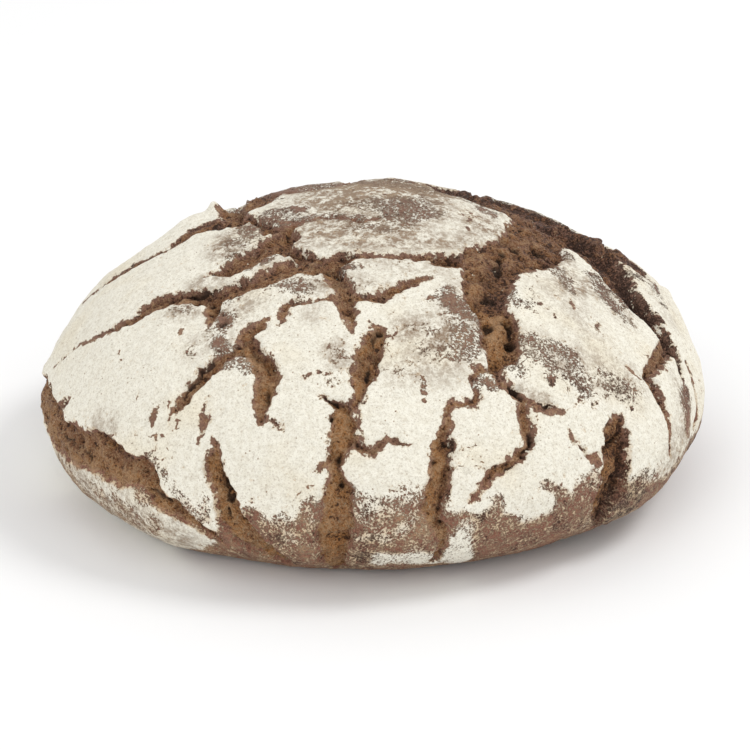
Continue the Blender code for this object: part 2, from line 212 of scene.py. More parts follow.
# Narrow deep clefts in the cracks' floors.
CLEFTS = [
    [(-122, 14), (-114, 8), (-107, 4), (-101, 1.5), (-95, -1), (-84, -2)], [(-78, 1), (-71, 5), (-66, 6)],
    [(-56, 9), (-54, 2)],
    [(-98, -50), (-90, -48), (-80, -46), (-70, -49), (-62, -51), (-52, -50), (-46, -46)],
    [(-62, -37), (-55, -31), (-49, -26), (-43, -19)],
    [(-34, -31), (-30, -36), (-24, -42), (-19, -47), (-17, -51)], [(17, -43.5), (24, -43.5), (31, -42)],
    [(46, -27), (49.5, -33), (50, -41), (49, -46)], [(66, -18), (71, -19), (74, -22)],
    [(50, -72), (53, -78), (55, -86)], [(99, -3), (103.5, -11), (107, -18), (111, -24)],
    [(50, -101), (54, -106), (59, -108)], [(66, -109), (72, -108)],
    [(115, -70), (119, -74), (124, -78), (128, -83)], [(103, -98), (103, -104), (101, -110), (100, -116)],
    [(108, -108), (110, -114), (111, -120), (110, -128)], [(-150, -68), (-142, -80), (-134, -93)],
    [(-101, -128), (-98, -134), (-94, -139), (-88, -147), (-84, -154)],
    [(-63, -124), (-62.5, -131), (-63.5, -137), (-62.5, -142), (-64, -149), (-66, -156)],
    [(-18, -117), (-13, -118.6)], [(-8, -133), (-3, -136), (1.5, -138.5), (5, -135)],
    [(-13, -139), (-12.5, -145), (-13, -150)], [(31.5, -128), (32, -136), (31, -146)],
    [(-43, -81), (-47, -86), (-44, -94), (-40, -101), (-41, -109), (-40.5, -117)],
    [(2, -88), (0, -96), (-2, -108)], [(-61, -91), (-68, -95), (-76, -102)],
    [(64.5, -118), (65, -125), (60, -133), (53, -140)], [(69, -163), (69.5, -169)],
    [(-46, 30), (-45, 44), (-52, 64), (-66, 86)], [(-62, 104), (-72, 120), (-72, 140)],
    [(20, 36), (2, 47), (-24, 54), (-40, 49)], [(-9, 64), (0, 86), (2, 104), (-4, 122), (2, 144)],
    [(42, 48), (44, 70), (50, 98), (48, 124)], [(98, 22), (97, 48), (106, 74)],
    [(80, 144), (104, 130), (124, 110), (140, 86)], [(-144, 74), (-130, 96), (-112, 116)],
]
CLEFT_WIDTH = 1.2
CLEFT_DEPTH = 1.5

# Deep pits: x, y, radius.
PITS = [
    (-58, -18.5, 1.3), (-41.5, -14, 1.2), (-56.5, -75, 1.4), (-56, -69, 0.9), (-41.5, -82, 1.6),
    (-15.6, -126.3, 1.3), (-2.2, -109, 1.1), (-12.5, -151, 1.3), (2.5, -88.5, 1.3), (-29, -3, 1.2),
    (55, -106, 1.8), (116, -8, 0.9), (-62.5, -142, 1.6), (-62, -147.5, 1.7), (-149, -77, 2.2),
    (-133, -95, 1.5), (-139, -86, 1.3), (29.5, -42.5, 2), (52, -137, 1), (38.5, -142, 0.8),
    (42.5, -131.5, 0.7), (70.5, -19, 1.6), (67, -24, 1.2), (44.5, -80, 2.2), (47.5, -62, 1.3),
    (52.5, -76, 2.4), (53.5, -84, 2.2), (103, -13, 2), (49.5, -34, 3), (48.5, -41, 2.4), (51, -28, 2.2),
    (60, 2, 1.6), (44.5, -62, 1.8), (66.5, -15, 2.6), (66, -30, 1.8), (56, -22, 2.2), (104.5, -17, 2.6),
    (108, -22, 2.8), (111.5, -26, 2.4), (30, -133, 1), (32.5, -164, 1), (-70, -152, 1.1),
]

# Fine cracks in the flour.
HAIRLINES = [
    [(-30.5, -104), (-27, -105.5), (-24.5, -107), (-19, -107), (-11, -107.5)],
    [(19.5, -107), (20.5, -112), (21, -117)], [(9, -86), (8.5, -91)], [(4.5, -90), (10, -91)],
    [(-91, -112), (-90, -117)], [(-92, -111), (-87, -113.5)], [(-86, -117), (-84.5, -119.5)],
    [(-72.5, -69), (-74, -74)], [(-75, -72), (-73, -71)], [(17, -68), (21, -69.5), (25, -69)],
    [(-101, -66), (-100, -71)], [(-95, -89), (-95.5, -97)], [(78, -52), (79, -58)],
    [(104, -92), (108, -91), (112, -90.5), (116, -90)], [(95, -67), (99, -72), (105, -74), (110, -74)],
    [(69, -93), (71, -100), (70, -104)], [(63, -60), (68, -63), (72, -69)], [(36, -18), (38, -9), (39, 3)],
    [(-86, -8), (-82, -14)], [(-84, 92), (-90, 98), (-91, 106)], [(24, 84), (20, 92), (22, 98)],
    [(72, 42), (78, 50)],
]
HAIRLINE_WIDTH = 0.7

# Swellings and hollows of the whole crust: x, y, reach, height.
LUMPS = [
    (-2, 30, 34, 2.4),  # crown plate
    (33, 52, 11, -5.5),  # step down beside it
    (33, 32, 8, -3.8),
    (-24, 46, 13, -5.4),  # low place on its far edge
    (-62.5, 27, 4, 5.2),  # lifted lip
    (-72, 30, 7, 1.4),
    (-55.5, 54, 11, -6.0),  # notch between them
    (-55, 28, 6, -3.6),
    (-47, 38, 7, 2.8),
    (-125, 20, 34, -2.0),  # sunken left shoulder
    (-94, 44, 14, -4.2),
    (-76, 24, 9, 1.4),
    (118, 14, 34, 2.6),  # full right shoulder
    (72, 44, 11, 1.8),
    (100, 22, 14, 1.2),
    (127, 12, 6, 2.0),
    (124, -98, 34, 4.2),  # full right belly
    (117, 18, 7, -1.8),
    (139, 8, 9, -2.6),
    (22, 40, 9, 1.4),
    (30, 62, 6, -2.6),
    (44, 62, 9, 1.4),
    (98, 24, 8, 1.4),
    (70, -60, 26, 1.2),
    (-95, -78, 34, 0.8),
    (-161, -14, 13, 1.8),
]

# Where the flour is worn thin: by how much, and the points as (x, y, width).
WORN = [
    # The crown.
    (0.22, (-26, 26, 34), (-4, 20, 44), (20, 16, 36)), (0.42, (-14, 38, 14), (6, 31, 17), (22, 22, 14)),
    # The crown's far edge.
    (1.3, (-44, 47, 20), (-50, 60, 22)), (0.9, (-36, 56, 16), (-22, 58, 17), (-14, 54, 17)),
    (1.3, (-12, 49, 9), (-6, 50, 9)), (0.9, (4, 53, 17), (20, 50, 18)),
    # Round the crown, and left of it.
    (1.2, (-13, 31, 6), (-8, 32, 6)), (0.35, (-36, 4, 14), (-24, -2, 16), (-6, -4, 18), (18, -8, 16)),
    (0.3, (2, 2, 12), (18, 0, 14)), (0.4, (-8, -20, 9), (6, -21, 12), (16, -17, 9)),
    (0.45, (8, -9, 9), (22, -8, 12)), (0.5, (34, 24, 9), (42, 18, 10), (50, 12, 8)),
    (0.3, (14, 2, 10), (24, 6, 10)), (0.35, (-42, 24, 8), (-38, 22, 8)),
    (0.25, (-28, -24, 14), (-8, -28, 16), (12, -30, 14), (30, -26, 12)),
    (0.36, (-12, -52, 10), (10, -50, 10), (28, -54, 12)), (0.25, (36, -12, 18), (42, 4, 14)),
    (0.5, (-36, -8, 6), (-20, -9, 5), (-5, -13, 6)), (1.0, (-30, 4, 3.5), (-27, 3, 3.5)),
    (0.75, (-50, -8, 7), (-45, -8, 8), (-40, -4, 8)), (0.58, (-56, -20, 12), (-48, -18, 11), (-56, -30, 8)),
    (0.35, (-58, -50, 5), (-50, -48, 6)), (0.35, (-42, 4, 6), (-32, 1, 8)),
    # Left of the centre.
    (0.5, (-30, -58, 8), (-22, -60, 8)), (0.55, (-48, -44, 5), (-41, -41, 8)),
    (0.5, (-48, -42, 6), (-40, -38, 6)), (0.5, (-38, -60, 8), (-26, -66, 8)),
    (0.65, (-14, -52, 5), (-8, -52, 5)), (0.48, (-68, -85, 9), (-60, -84, 9)),
    (0.8, (-58, -83, 5), (-55.5, -88, 6)), (1.1, (-56.5, -70, 4), (-56, -75, 4)),
    (0.5, (-60, -76, 8), (-54, -73, 7)), (0.8, (-55, -94.5, 6), (-50, -96.5, 7), (-47, -100, 6)),
    (0.48, (-14, -96, 8), (-11, -100, 8)), (0.6, (-77, -57, 6), (-71, -60, 8)),
    (0.6, (-55, -62, 4), (-49, -61, 5)), (0.45, (-57, -67, 8), (-53, -70, 8)),
    (0.45, (-6, -61, 7), (-2, -64, 7)), (0.4, (-18, -109, 5), (-12, -110, 7)),
    (0.25, (-34, -93, 8), (-22, -93, 6)),
    # Right of the centre.
    (0.48, (14, -86, 6), (22, -84, 10), (30, -82, 12), (38, -82, 9)), (0.25, (22, -94, 9), (34, -94, 9)),
    (0.5, (24, -70, 8), (31, -72, 9)), (0.8, (34, -87, 7), (40, -90, 8)),
    (0.38, (12, -98, 9), (22, -98, 10), (36, -97, 9)), (0.6, (19.5, -108, 3), (21, -115, 4)),
    (0.45, (6, -106, 5), (15, -107, 4)), (0.7, (40, -107, 5), (44, -107, 6)),
    (0.45, (43, -103, 5), (48, -106, 6)), (0.75, (28, -64, 6), (30, -70, 8), (37, -77, 6)),
    (0.45, (60, -84, 8), (61, -90, 9), (60, -97, 7)), (0.35, (66, -84, 5), (69, -90, 6), (69, -98, 5)),
    (0.7, (53, -92, 5), (55, -98, 6)), (0.5, (78, -92, 6), (84, -94, 6)),
    # The right plate and the right shoulder.
    (0.6, (70, -80, 6), (78, -84, 8)), (0.4, (93, -82, 7), (96, -87, 8), (105, -84, 8)),
    (0.4, (64, -84, 12), (84, -92, 18), (110, -84, 12)), (0.4, (78, -12, 5), (80, -24, 6)),
    (0.6, (88, -24, 8), (92, -32, 9), (96, -38, 7)), (1.1, (97, -21, 4), (100, -27, 5), (103, -33, 4)),
    (0.25, (84, -36, 8), (92, -38, 8)), (0.45, (90, -22, 7), (94, -29, 7)),
    (0.65, (77, -36, 6), (78, -44, 6)), (0.45, (62, -38, 6), (64, -42, 5)),
    (0.8, (73, -32, 7), (74, -28, 6)), (0.7, (45, 9, 6), (48, 4, 6)), (0.6, (99, -38, 8), (104, -44, 8)),
    (0.75, (54, -58, 5), (56, -64, 7)), (0.6, (110, 2, 8), (117, 3, 8), (123, -8, 7)),
    (0.9, (119, 6, 3), (120, 1, 3)), (0.45, (60, -50, 5), (63, -58, 6), (61, -66, 5)),
    (0.35, (90, -60, 6), (94, -67, 5)), (0.3, (72, -4, 8), (80, -12, 6)),
    # Along the tear on the left.
    (0.8, (-157, -24, 12), (-152, -37, 10)),
    (0.12, (-140, -52, 5), (-133, -70, 7), (-124, -83, 7), (-117, -90, 8), (-110, -97, 8), (-105, -107, 6)),
    # The right edge.
    (1.1, (138, -52, 4), (136, -58, 6), (136, -62, 7), (139.5, -65, 7), (142, -69, 7)),
    (0.6, (140, -54, 6), (143, -62, 6)),
    (0.28, (150, -64, 10), (145, -80, 10), (136, -96, 8), (126, -110, 9)),
    (0.35, (126, -108, 7), (129, -101, 5)),
    # Near the foot.
    (0.9, (74, -137, 4), (81, -138, 5), (88, -139, 6)), (0.9, (55, -149, 5), (58, -156, 7)),
    (0.35, (64, -152, 6), (74, -151, 6)), (0.75, (-53, -158, 5), (-52, -162, 8)),
    (0.25, (-44, -159, 8), (-34, -160, 8)), (1.0, (-107, -127, 7), (-104, -130, 6)),
    (0.6, (-94, -119, 4), (-91, -126, 5), (-88, -133, 5)),
    (0.75, (-86, -140, 8), (-79, -150, 10), (-75, -146, 7)), (0.25, (50, -149, 6), (46, -152, 6)),
    (0.9, (92, -125, 3), (94, -124, 3)),
    (0.66, (-174, -66, 22), (-152, -106, 26), (-127, -131, 24), (-112, -140, 14)),
    # The back.
    (0.6, (60, 60, 36), (80, 50, 20)), (0.6, (-30, 78, 30), (-10, 86, 16)),
    (0.5, (10, 112, 24), (14, 130, 16)), (0.5, (-110, 86, 26), (-126, 70, 16)),
    (0.5, (70, 96, 16), (84, 88, 14)), (0.45, (-40, 124, 20), (-52, 134, 14)),
]

# Where the flour is only a thin veil, through which the crust shows: how thin, and the points.
VEILS = [
    # The crown, the front and the sides.
    (1.0, (-26, 36, 18), (-8, 32, 34), (18, 28, 32)), (0.7, (-16, 38, 18), (6, 31, 20), (22, 22, 16)),
    (0.8, (-10, 18, 32), (14, 14, 28)), (0.6, (-34, 10, 14), (-20, 2, 20), (4, -8, 24), (22, -6, 20)),
    (0.85, (-30, -26, 18), (-22, -18, 12), (-8, -28, 24), (12, -29, 22)),
    (0.6, (28, -31, 11), (38, -26, 12), (46, -11, 13)), (0.35, (36, -6, 16), (46, 8, 14)),
    (0.4, (44, -4, 8), (47, -12, 8)), (0.3, (-10, -50, 10), (10, -50, 12), (28, -52, 12)),
    (0.85, (-56, -24, 14), (-54, -14, 16), (-46, -6, 10)), (0.55, (-68, -46, 9), (-58, -46, 8)),
    (0.6, (-78, -58, 8), (-70, -62, 8)), (0.55, (-58, -68, 10), (-50, -72, 9)),
    (0.5, (-12, -62, 10), (2, -64, 9)), (0.5, (-14, -96, 9), (-12, -102, 9)),
    (0.4, (-42, -43, 10), (-34, -47, 14), (-26, -56, 16), (-18, -62, 12)),
    (0.35, (-66, -82, 12), (-56, -84, 10)), (0.35, (-22, -80, 8), (-20, -76, 8)),
    (0.7, (14, -86, 12), (34, -86, 22), (34, -70, 16)), (0.45, (12, -104, 14), (26, -102, 16)),
    (0.6, (58, -105, 6), (68, -107, 6)), (0.45, (-119, -89, 10), (-110, -96, 8)),
    (0.4, (-46, -64, 8), (-42, -68, 8)), (0.5, (62, -84, 12), (84, -86, 15), (104, -80, 16)),
    (0.3, (74, -50, 22), (84, -66, 18)), (0.6, (76, -12, 8), (78, -40, 10), (92, -30, 14), (102, -42, 12)),
    (0.25, (112, 4, 14), (122, -2, 14), (128, -14, 12)),
    (0.5, (132, -58, 10), (142, -70, 14), (136, -96, 14)),
    (0.6, (-172, -68, 26), (-150, -108, 28), (-126, -133, 28), (-104, -152, 22)),
    # The back.
    (0.55, (60, 60, 40), (-30, 80, 34), (12, 118, 26), (-112, 84, 26), (76, 92, 22)),
]

# How far down the thick flour reaches: a ring of places, anticlockwise from the left side.
FLOUR_FOOT = [
    (-215, 0), (-190, -100), (-135, -160), (-100, -165), (-84, -166), (-76, -160), (-59.5, -156),
    (-54, -154), (-50, -156), (-49, -160), (-45, -161), (-41, -160), (-36, -161), (-31, -159.5),
    (-27, -156), (-21.5, -157), (-6, -154), (0, -156), (7, -155), (18, -154), (27, -155), (34.5, -159),
    (37, -160), (41, -156.5), (48, -158), (56, -154), (64, -156), (72, -155), (79, -151), (82, -147),
    (84, -142), (89, -138), (90, -133), (92.5, -131), (96, -125), (106, -121), (115, -119), (122, -114),
    (130, -107), (138, -99), (148, -85), (156, -68), (162, -50), (164, -20), (164, 10), (160, 50),
    (140, 85), (100, 125), (70, 144), (30, 155), (-10, 150), (-50, 155), (-90, 140), (-130, 100),
    (-155, 60),
]
PLATE_FLOUR = 1.6  # thickness of the flour on an unworn plate
FLOUR_OVERHANG = 0.35  # how far it reaches past a crack's side
FLOUR_FADE = 7.0  # the way over which the flour thins out at its foot

# Dust below the thick flour: how much, and the points as (x, y, width).
DUST = [
    (0.32, (-46, -161, 8), (-38, -164, 13), (-40, -172, 11), (-30, -162, 8)),
    (0.45, (-4, -161, 14), (8, -165, 20)), (1.2, (4, -184, 9), (22, -182, 9), (36, -180, 9)),
    (1.6, (42, -166, 9), (44, -174, 13), (52, -180, 10)), (0.9, (28, -184, 8), (50, -184, 8)),
    (-0.05, (64, -162, 12), (90, -148, 10)), (0.3, (110, -142, 12), (134, -118, 12)),
    (0.35, (-60, 168, 30), (30, 170, 30)), (0.4, (100, 140, 24), (150, 90, 24)),
]

# Wandering of the drawn lines, coarse to fine: its size and its reach.
WANDERS = ((13.0, 0.7), (5.5, 1.5), (2.2, 1.1))
CALM_SHARE = 0.6  # how much of it the right shoulder lacks

CRACK_REACH = 16.0
DEEP_SIDE = np.array([0.8, 0.6])  # cracks are torn deepest on their right and far sides

# Relief, in millimetres.
FLOOR_LUMPS = 1.3
CRUMB_SIZE = 3.6
CRUMB_HEIGHT = 2.2
CRUMB_WANDER = 1.6
PIT_DEPTH = 2.0
DIP_DEPTH = 1.4
PLATE_DROOP = 0.9  # how much a plate falls towards its torn edges
PLATE_DROOP_REACH = 9.0
LIP_PLACE = 1.4  # a plate's lifted edge stands this far from the crack's side
LIP_WIDTH = 1.3
UNEVENNESS = 1.6
UNEVENNESS_SIZE = 55.0
FOOT_FADE = 26.0  # the relief fades out over this way above the underside
FLAT_BELOW = 0.05  # whatever is lower than this lies on the underside

# The belly begins and is full at these ways from the crown.
BELLY_FROM = 140.0
BELLY_TO = 170.0

NOISE_SEED_STEP = np.array([7.3, 3.1, 5.7])
NOISE_SMOOTHNESS = 0.9
NOISE_LACUNARITY = 2.1


def smooth_step(low, high, values):
    """Rise smoothly from 0 at low to 1 at high."""
    part = np.clip((values - low) / (high - low), 0.0, 1.0)
    return part * part * (3.0 - 2.0 * part)


def noise_at(points, size, seed, octaves=1):
    """Noise between about -1 and 1, with features of the given size in millimetres."""
    spots = (points / size + NOISE_SEED_STEP * seed).tolist()
    if octaves == 1:
        return np.array([noise.noise(spot) for spot in spots])
    return np.array([noise.fractal(spot, NOISE_SMOOTHNESS, NOISE_LACUNARITY, octaves)
                     for spot in spots])


def noise_shift(points, size, seeds):
    """A small random shift, one direction for each seed, smooth over the given size."""
    return np.column_stack([noise_at(points, size, seed) for seed in seeds])


def from_crown(places):
    """The way down over the crust from the crown."""
    return np.hypot(places[:, 0], places[:, 1])


def crust_profile(steps):
    """Radius and height, over the widest radius and in millimetres, at steps from 0 to 2.

    Step 0 is the crown, 1 the widest level and 2 the edge of the flat underside.
    """
    over = np.clip(steps, 0.0, 1.0) * math.pi / 2
    under = np.clip(steps - 1.0, 0.0, 1.0) * math.pi / 2
    dome = np.sin(over) ** (2 / SHOULDER_FULLNESS)
    rise = BELLY_HEIGHT + CROWN_RISE * np.cos(over) ** (2 / CROWN_FULLNESS)
    tuck = np.cos(under) ** (2 / BELLY_FULLNESS)
    fall = BELLY_HEIGHT * (1.0 - np.sin(under) ** (2 / BELLY_FULLNESS))
    return dome, tuck, np.where(steps <= 1.0, rise, fall)


def map_scale():
    """Arc length down the mean crust at many steps: the scale of the crust map's radius."""
    steps = np.linspace(0.0, 2.0, PROFILE_POINTS)
    dome, tuck, height = crust_profile(steps)
    under = FOOT_TO_WIDTH + (1.0 - FOOT_TO_WIDTH) * tuck
    radius = np.where(steps <= 1.0, dome, under) * LOAF_WIDTH / 2
    lengths = np.hypot(np.diff(radius), np.diff(height))
    return steps, np.concatenate([[0.0], np.cumsum(lengths)])


STEPS, ARCS = map_scale()
FOOT_ARC = ARCS[-1]
FULL_ARC = FOOT_ARC + FOOT_TO_WIDTH * LOAF_WIDTH / 2


def body_points(places):
    """Points of the smooth loaf, in millimetres, for places on the crust map.

    Places further out than the foot lie on the flat underside, which ends at its centre.
    """
    arc = from_crown(places)
    angle = np.arctan2(places[:, 1], places[:, 0])
    steps = np.interp(arc, ARCS, STEPS)
    dome, tuck, height = crust_profile(steps)
    foot = FOOT_TO_WIDTH + FOOT_SHIFT * np.cos(angle)
    under = foot + (1.0 - foot) * tuck
    inward = np.clip((arc - FOOT_ARC) / (FULL_ARC - FOOT_ARC), 0.0, 1.0)
    radius = np.where(steps <= 1.0, dome, under) * (1.0 - inward) * LOAF_WIDTH / 2
    across = radius * np.cos(angle)
    along = radius * np.sin(angle) * DEPTH_TO_WIDTH
    return np.stack([across, along, height], axis=1)


# ---------------------------------------------------------------- fields over the crust


def ragged(places, points):
    """Places shifted a little, so that drawn lines come out torn; less on the right shoulder."""
    shift = np.zeros((len(places), 2))
    for rank, (size, reach) in enumerate(WANDERS):
        shift += reach * noise_shift(points, size, (2 * rank + 1, 2 * rank + 2))
    calm = smooth_step(78.0, 92.0, places[:, 0] + 0.3 * places[:, 1])
    return places + shift * (1.0 - CALM_SHARE * calm)[:, None]


def away_from(path, places):
    """Distance to a path, the path's width at the nearest point and the way from there."""
    away = np.full(len(places), np.inf)
    width = np.zeros(len(places))
    offset = np.zeros((len(places), 2))
    for start, end in zip(path[:-1], path[1:]):
        first = np.array(start[:2], float)
        run = np.array(end[:2], float) - first
        share = np.clip((places - first) @ run / (run @ run), 0.0, 1.0)
        way = places - first - share[:, None] * run
        distance = np.linalg.norm(way, axis=1)
        nearer = distance < away
        away = np.where(nearer, distance, away)
        width = np.where(nearer, start[2] + share * (end[2] - start[2]), width)
        offset = np.where(nearer[:, None], way, offset)
    return away, width, offset


def near_path(path, places, reach):
    """Indices of the places within the path's box, widened by reach."""
    corners = np.array([point[:2] for point in path], float)
    low = corners.min(axis=0) - reach
    high = corners.max(axis=0) + reach
    return np.nonzero(((places > low) & (places < high)).all(axis=1))[0]


def crack_fields(places):
    """How the cracks lie at each place.

    Side is the distance past the nearest crack's side, groove the crack's depth, and lean runs
    from -1 to 1 across a crack, towards its deep side.
    """
    side = np.full(len(places), CRACK_REACH)
    groove = np.zeros(len(places))
    weight = np.full(len(places), 1e-6)
    warmth = 0.4 * weight
    # Painted shade of the cracks' floors, weighted towards the nearest crack.
    crack_shade = 0.3 * weight
    lean = np.zeros(len(places))
    for depth, warm, dark, path in CRACKS.values():
        chosen = near_path(path, places, CRACK_REACH + 20.0)
        away, width, offset = away_from(path, places[chosen])
        beyond = away - width / 2
        across = np.clip(offset @ DEEP_SIDE / np.maximum(width / 2, 1.5), -1.0, 1.0)
        ledge = 1.0 - smooth_step(-1.3, 0.4, beyond)
        bottom = smooth_step(-0.4, 0.5, across) * (1.0 - smooth_step(-2.0, -0.5, beyond))
        deep = depth * np.clip(width / 8.0, 0.3, 1.0) * (0.5 * ledge + 0.6 * bottom)
        side[chosen] = np.minimum(side[chosen], beyond)
        groove[chosen] = np.maximum(groove[chosen], deep)
        share = np.exp(-np.maximum(beyond, -6.0) / 1.5)
        weight[chosen] += share
        warmth[chosen] += warm * share
        crack_shade[chosen] += dark * share
        lean[chosen] += across * share
    return side, groove, warmth / weight, crack_shade / weight, lean / weight


def line_field(lines, width, places):
    """1 on the lines and 0 away from them."""
    found = np.zeros(len(places))
    for line in lines:
        path = [(x, y, width) for x, y in line]
        chosen = near_path(path, places, 2 * width)
        away = away_from(path, places[chosen])[0]
        found[chosen] = np.maximum(found[chosen], 1.0 - smooth_step(0.2 * width, width, away))
    return found


def pit_field(places):
    """1 in the deep pits and 0 away from them."""
    found = np.zeros(len(places))
    for x, y, radius in PITS:
        away = np.hypot(places[:, 0] - x, places[:, 1] - y)
        found = np.maximum(found, 1.0 - smooth_step(0.4 * radius, 1.4 * radius, away))
    return found


def strokes(painted, places):
    """Sum of soft painted strokes, each an amount and then its points as (x, y, width)."""
    total = np.zeros(len(places))
    for amount, *path in painted:
        chosen = near_path(path, places, max(point[2] for point in path))
        away, width = away_from(path, places[chosen])[:2]
        total[chosen] += amount * (1.0 - smooth_step(0.15, 0.95, away / width))
    return total


def flour_foot(places, points):
    """How far down the thick flour reaches in each place's direction."""
    ring = np.array(FLOUR_FOOT, float)
    direction = np.degrees(np.arctan2(places[:, 1], places[:, 0]))
    ring_direction = np.degrees(np.arctan2(ring[:, 1], ring[:, 0]))
    foot = np.interp(direction, ring_direction, from_crown(ring), period=360.0)
    return foot + 2.5 * noise_at(points, 9.0, 12, 2)


def flour_density(places, points, side):
    """How thick the flour lies, and how worn it is.

    The thickness is well over 1 on a plate, about 0 where it is speckled and below 0 where bare.
    """
    worn = strokes(WORN, places)
    thick = 1.0 + 0.22 * noise_at(points, 22.0, 11, 2) + 0.2 * noise_at(points, 7.0, 14, 2)
    density = PLATE_FLOUR * (thick - worn)
    above_foot = flour_foot(places, points) - from_crown(places)
    bare = -0.1 + 0.55 * noise_at(points, 7.0, 15, 2)
    density = np.minimum(density, np.maximum(PLATE_FLOUR * above_foot / FLOUR_FADE, bare))
    density += strokes(DUST, places)
    steepness = np.clip(0.95 + 0.8 * noise_at(points, 9.0, 16), 0.4, 1.6)
    dusting = -1.2 + 0.9 * noise_at(points, 3.0, 13, 2)
    density = np.minimum(density, np.maximum((side + FLOUR_OVERHANG) * steepness, dusting))
    return density, np.maximum(smooth_step(0.05, 0.8, worn), smooth_step(7.0, 1.0, above_foot))


def crumb_cells(points, size):
    """Open crumb: 0 in the middle of each hole and about 1 on the ridges between holes."""
    found = []
    for spot in (points / size).tolist():
        distances, middles = noise.voronoi(spot)
        depth = 0.45 + 0.55 * noise.cell(middles[0] * 7.0)
        found.append(1.0 - depth * (1.0 - min(1.0, distances[0] / max(distances[1], 1e-6))))
    return np.array(found)


def crack_floor(points, inside, clefts, pits):
    """A crack's torn floor: its height, its tone and the painted shade of its hollows.

    The tone runs from about -1 in the crumb's holes to 1 on its ridges, after the floor's height: painted
    shade in the holes and painted light on the ridges.
    """
    lumps = noise_at(points, 7.5, 21, 2) + 0.4 * noise_at(points, 2.4, 29)
    cells = crumb_cells(points + CRUMB_WANDER * noise_shift(points, 4.0, (41, 42, 43)), CRUMB_SIZE)
    clefts = clefts * smooth_step(-0.35, 0.25, noise_at(points, 7.0, 31))
    dips = inside * smooth_step(0.05, 0.55, noise_at(points, 8.5, 33, 2))
    height = inside * (FLOOR_LUMPS * lumps + CRUMB_HEIGHT * (cells - 0.75))
    height -= clefts * CLEFT_DEPTH * (0.4 + 0.6 * inside) + PIT_DEPTH * pits + DIP_DEPTH * dips
    # The tone follows the floor's height: painted shade in the holes and painted light on the ridges.
    tone_and_shading = 0.9 * lumps + 1.3 * (cells - 0.72)
    # Painted shade for the hollows: crumb holes, clefts, pits and dips.
    hollow_shade = inside * smooth_step(0.55, 0.2, cells) + 0.9 * clefts + 1.2 * pits + 0.45 * dips
    return height, tone_and_shading, np.clip(hollow_shade, 0.0, 1.0)


def plate_relief(points, side, plate, flour):
    """Height of the plates' lifted edges, dents and grain."""
    lip = np.exp(-(((side - LIP_PLACE) / LIP_WIDTH) ** 2)) * (0.35 + 0.5 * noise_at(points, 8.0, 25))
    grain = 0.5 * noise_at(points, 12.0, 26, 2) + 0.3 * noise_at(points, 4.5, 27, 2)
    worn = 1.0 - smooth_step(-0.2, 0.5, flour)
    return lip + plate * (grain + 0.35 * worn * noise_at(points, 3.2, 28, 3))


def swellings(places):
    """Height of the crust's swellings and hollows, and of its slow unevenness."""
    total = np.zeros(len(places))
    for x, y, reach, height in LUMPS:
        away = np.hypot(places[:, 0] - x, places[:, 1] - y)
        total += height * np.exp(-((away / reach) ** 2))
    flat = np.column_stack([places, np.zeros(len(places))]) / UNEVENNESS_SIZE
    return total + UNEVENNESS * np.array([noise.noise(spot) for spot in flat.tolist()])


def crust_relief(places, points, side, groove, clefts, pits, flour):
    """Height of the torn crust over the smooth loaf in millimetres, its tone with painted shade and light,
    and the painted shade of its hollows.
    """
    inside = 1.0 - smooth_step(-1.3, 0.5, side)
    floor_height, tone_and_shading, hollow_shade = crack_floor(points, inside, clefts, pits)
    droop = PLATE_DROOP * np.exp(-np.maximum(side, 0.0) / PLATE_DROOP_REACH)
    relief = floor_height - groove - droop + plate_relief(points, side, 1.0 - inside, flour)
    relief += swellings(places)
    return relief * smooth_step(0.0, FOOT_FADE, FOOT_ARC - from_crown(places)), tone_and_shading, hollow_shade


# ---------------------------------------------------------------- the mesh


def map_places(bm):
    """Crust-map places of a ball's vertices: the way down from +Z becomes the map's radius."""
    directions = np.array([vert.co[:] for vert in bm.verts])
    arc = np.arccos(np.clip(directions[:, 2], -1.0, 1.0)) / math.pi * FULL_ARC
    flat = np.maximum(np.hypot(directions[:, 0], directions[:, 1]), 1e-9)
    return directions[:, :2] * (arc / flat)[:, None]


def wanted_edge(places):
    """Edge length that the mesh should have at places on the map, in millimetres."""
    side = crack_fields(places)[0]
    near = smooth_step(CRACK_MARGIN, CRACK_MARGIN + 4.0, side)
    length = CRACK_EDGE + (PLATE_EDGE - CRACK_EDGE) * near
    under = smooth_step(FOOT_ARC - 12.0, FOOT_ARC + 8.0, from_crown(places))
    return length + (UNDERSIDE_EDGE - length) * under


def refine_near_cracks(bm):
    """Split the ball's edges until the loaf's mesh is as fine as wanted everywhere."""
    for _ in range(REFINE_ROUNDS):
        bm.verts.index_update()
        places = map_places(bm)
        points = body_points(places)
        wanted = wanted_edge(places)
        ends = np.array([[vert.index for vert in edge.verts] for edge in bm.edges])
        length = np.linalg.norm(points[ends[:, 0]] - points[ends[:, 1]], axis=1)
        limit = np.minimum(wanted[ends[:, 0]], wanted[ends[:, 1]]) * math.sqrt(2.0)
        too_long = [edge for edge, long in zip(bm.edges, length > limit) if long]
        bmesh.ops.subdivide_edges(bm, edges=too_long, cuts=1)
        bmesh.ops.triangulate(bm, faces=bm.faces[:])
        bmesh.ops.beautify_fill(bm, faces=bm.faces[:], edges=bm.edges[:], method="ANGLE")
        bmesh.ops.smooth_vert(bm, verts=bm.verts[:], factor=0.5,
                              use_axis_x=True, use_axis_y=True, use_axis_z=True)
        for vert in bm.verts:
            vert.co.normalize()


